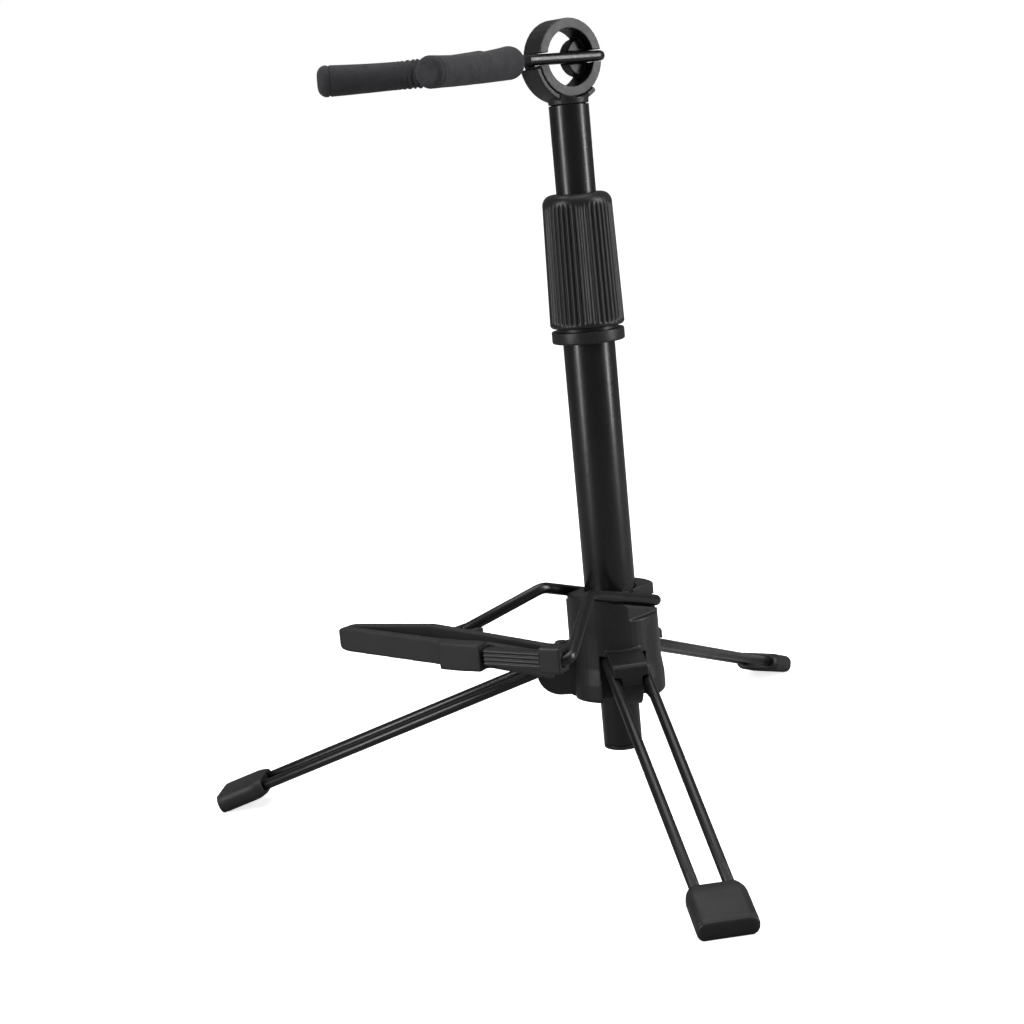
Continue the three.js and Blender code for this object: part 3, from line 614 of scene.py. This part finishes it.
def foam_sleeve(name, tip, root, end_r, waist_r, root_r, wrinkle_at, end_round):
    """A foam tube pushed over a prong: domed ends, a gentle waist, and wrinkles where it was squeezed."""
    tip, root = Vector(tip), Vector(root)
    back = (root - tip).normalized()
    start = tip - back * FOAM_OVERHANG
    count = 260
    nodes = []
    radii = []
    for i in range(count + 1):
        u = i / count
        # closer steps at both ends, where the profile turns
        s = 0.5 - 0.5 * math.cos(math.pi * u)
        along = s * FOAM_LENGTH
        waist = math.sin(math.pi * min(1.0, max(0.0, (s - 0.04) / 0.92))) ** 0.9
        r = end_r + (root_r - end_r) * s * s - (end_r - waist_r) * waist
        face = max(0.0, 1 - along / end_round)
        r -= end_round * (1 - math.sqrt(max(0.0, 1 - face * face)))
        dome = max(0.0, 1 - (FOAM_LENGTH - along) / FOAM_DOME)
        r *= math.sqrt(max(0.0, 1 - dome ** 2.2))
        r = max(r, 0.6 * MM)
        nodes.append(start + back * along + Vector((0, 0, -FOAM_SAG * math.sin(math.pi * s))))
        radii.append(r)
    crease = end_round + FOAM_CREASE_BEYOND

    def wave(i, angle):
        along = (nodes[i] - start).dot(back)
        place = Vector((math.cos(angle) * 1.2, math.sin(angle) * 1.2, along / (9 * MM)))
        rough = FOAM_ROUGHNESS * noise.noise(place + Vector((wrinkle_at * 7, 0, 0)))
        ring = -FOAM_CREASE * math.exp(-((along - crease) / FOAM_CREASE_WIDTH) ** 2)
        folds = 0.0
        if wrinkle_at > 0:
            near = math.exp(-((along - wrinkle_at * FOAM_LENGTH) / FOAM_FOLD_REACH) ** 2)
            drift = 0.9 * noise.noise(Vector((math.cos(angle), math.sin(angle), along / (5 * MM))) * 1.3)
            folds = FOAM_FOLD * near * math.sin(2 * math.pi * along / FOAM_FOLD_PITCH + 3.5 * drift)
        taper = min(1.0, radii[i] / (3 * MM))
        return (rough + ring + folds) * taper

    verts, faces = swept(nodes, radii, FOAM_SIDES, wave)
    obj = piece(name + "_foam", verts, faces, FOAM, "fork", [name],
                post_frame(RING_AZIMUTH, RING_Z))


def fork_parts():
    """The fork's wire and sleeves, and the cup and drum that hold it."""
    place = post_frame(RING_AZIMUTH, RING_Z)
    route = fork_route()
    wire("fork_wire_painted", route, FORK_WIRE_R, FORK_BEND, "fork", ["fork_wire"], place)
    foam_sleeve("foam_sleeve_far", route[0], route[1], end_r=7.2 * MM, waist_r=6.4 * MM,
                root_r=7 * MM, wrinkle_at=0.56, end_round=4.2 * MM)
    foam_sleeve("foam_sleeve_near", route[-1], route[-2], end_r=6.9 * MM, waist_r=6.5 * MM,
                root_r=7.7 * MM, wrinkle_at=0.0, end_round=2.6 * MM)
    moulded("head_cup", HUB_PLASTIC, 0.3 * MM, 5)
    moulded("fork_drum", HUB_PLASTIC, 0.3 * MM, 5)


# ---- Cradle ----
def cradle_route():
    """Corner points of the cradle's wire, from inside the grip round the cross bar to the far socket."""
    near = Vector(NEAR_END)
    held = near + Vector(GRIP_WAY).normalized() * GRIP_HOLD

    def beside(point, side):
        reach, height = point
        return (reach, side, height)

    return [held, near, beside(NEAR_KNEE, CRADLE_HALF), beside(CRADLE_PIVOT, CRADLE_HALF),
            beside(CRADLE_PIVOT, -CRADLE_HALF), beside(FAR_KNEE, -CRADLE_HALF), FAR_END]


def round_pad_tip(pad):
    """The free tip of the pad is rounded off, top and bottom."""
    local = post_frame(CRADLE_AZIMUTH)
    back = local.inverted()
    for vertex in pad.data.vertices:
        place = back @ vertex.co
        past = (PAD_TIP_Y - place.y) / PAD_TIP_REACH
        if past > 0:
            shrink = math.sqrt(max(0.0, 1 - 0.8 * min(1.0, past) ** 2.2))
            place.z = PAD_Z + (place.z - PAD_Z) * shrink
            vertex.co = local @ place


def cradle_parts():
    """The cradle's wire, its rubber pad, and the mouldings that hold the two together."""
    wire("cradle_wire_painted", cradle_route(), CRADLE_WIRE_R, CRADLE_BENDS, "cradle",
         ["cradle_wire"], post_frame(CRADLE_AZIMUTH))
    pad = moulded("cradle_pad", PAD_RUBBER, 0.4 * MM, 34, "_rubber")
    round_pad_tip(pad)
    for node, passes in (("cradle_grip", 2), ("cradle_socket_near", 26), ("cradle_socket_far", 12),
                         ("cradle_end_knob", 8)):
        moulded(node, GRIP_PLASTIC, 0.3 * MM, passes)


# ---- Studio ----
def camera():
    """A long lens, level with the mast's top and looking down a little, with a slight roll."""
    level = math.cos(CAMERA_TILT)
    ahead = Vector((math.sin(CAMERA_PAN) * level, math.cos(CAMERA_PAN) * level, -math.sin(CAMERA_TILT)))
    right = Vector((math.cos(CAMERA_PAN), -math.sin(CAMERA_PAN), 0))
    down = ahead.cross(right)
    across = right * math.cos(CAMERA_ROLL) + down * math.sin(CAMERA_ROLL)
    up = -(down * math.cos(CAMERA_ROLL) - right * math.sin(CAMERA_ROLL))
    turn = Matrix((across, up, -ahead)).transposed().to_4x4()
    data = bpy.data.cameras.new("camera")
    data.sensor_width = 36
    data.lens = CAMERA_LENS
    data.clip_start = 0.01
    obj = show(bpy.data.objects.new("camera", data))
    stood = (POST.x, POST.y - CAMERA_DISTANCE, BASE + CAMERA_HEIGHT)
    obj.matrix_world = Matrix.Translation(stood) @ turn
    bpy.context.scene.camera = obj


def area_light(name, place, target, width, height, power):
    """A white soft box that faces a target."""
    data = bpy.data.lights.new(name, "AREA")
    data.shape = "RECTANGLE"
    data.size = width
    data.size_y = height
    data.energy = power
    obj = show(bpy.data.objects.new(name, data))
    obj.location = place
    obj.rotation_euler = (target - place).to_track_quat("-Z", "Y").to_euler()


def by_view(tree, unseen, seen, output):
    """The camera sees one shader, and every other ray meets another."""
    path = tree.nodes.new("ShaderNodeLightPath")
    mix = tree.nodes.new("ShaderNodeMixShader")
    tree.links.new(path.outputs["Is Camera Ray"], mix.inputs["Fac"])
    tree.links.new(unseen, mix.inputs[1])
    tree.links.new(seen, mix.inputs[2])
    tree.links.new(mix.outputs["Shader"], output.inputs["Surface"])


def floor_material():
    """White paper to the eye, with faint shadows, and a dim floor to everything it is mirrored in."""
    material, bsdf = shader("floor_paper", (0.95, 0.95, 0.95), 1.0, 0.0)
    tree = material.node_tree
    glow = tree.nodes.new("ShaderNodeEmission")
    glow.inputs["Strength"].default_value = 0.74
    paper = tree.nodes.new("ShaderNodeAddShader")
    dim = tree.nodes.new("ShaderNodeBsdfDiffuse")
    dim.inputs["Color"].default_value = (0.3, 0.3, 0.3, 1)
    tree.links.new(bsdf.outputs["BSDF"], paper.inputs[0])
    tree.links.new(glow.outputs["Emission"], paper.inputs[1])
    by_view(tree, dim.outputs["BSDF"], paper.outputs["Shader"], tree.nodes["Material Output"])
    return material


def white_floor():
    mesh = bpy.data.meshes.new("floor")
    corners = [(x * FLOOR_REACH, y * FLOOR_REACH, 0) for x, y in ((-1, -1), (1, -1), (1, 1), (-1, 1))]
    mesh.from_pydata(corners, [], [(0, 1, 2, 3)])
    mesh.materials.append(floor_material())
    obj = show(bpy.data.objects.new("floor", mesh))


def surround():
    """White behind the object, and a dim room for it to stand in."""
    world = bpy.data.worlds.new("studio")
    world.use_nodes = True
    tree = world.node_tree
    dim = tree.nodes["Background"]
    dim.inputs["Color"].default_value = (1, 1, 1, 1)
    dim.inputs["Strength"].default_value = 0.17
    bright = tree.nodes.new("ShaderNodeBackground")
    bright.inputs["Color"].default_value = (1, 1, 1, 1)
    bright.inputs["Strength"].default_value = 1.0
    by_view(tree, dim.outputs["Background"], bright.outputs["Background"], tree.nodes["World Output"])
    bpy.context.scene.world = world


def studio():
    """A white floor and surround; the object itself sees a dimmer room with soft boxes."""
    white_floor()
    middle = Vector((POST.x, POST.y, 0.18))
    area_light("left_box", middle + Vector((-1.1, -0.7, 0.35)), middle, 0.22, 1.3, 15)
    area_light("right_box", middle + Vector((1.2, -0.25, 0.4)), middle, 0.22, 1.3, 17)
    area_light("top_box", middle + Vector((-0.1, 0.3, 1.7)), middle, 1.2, 1.2, 10)
    overhead = bpy.data.lights.new("overhead", "SUN")
    overhead.energy = 0.9
    overhead.angle = math.radians(60)
    show(bpy.data.objects.new("overhead", overhead))
    surround()
    bpy.context.scene.view_settings.view_transform = "Standard"


camera()
studio()
post_parts()
collar()
clamp_nut()
moulded("hub_body", HUB_PLASTIC, 0.4 * MM, 6)
moulded("collet", GRIP_PLASTIC, 0.4 * MM, 3)
legs()
fork_parts()
cradle_parts()
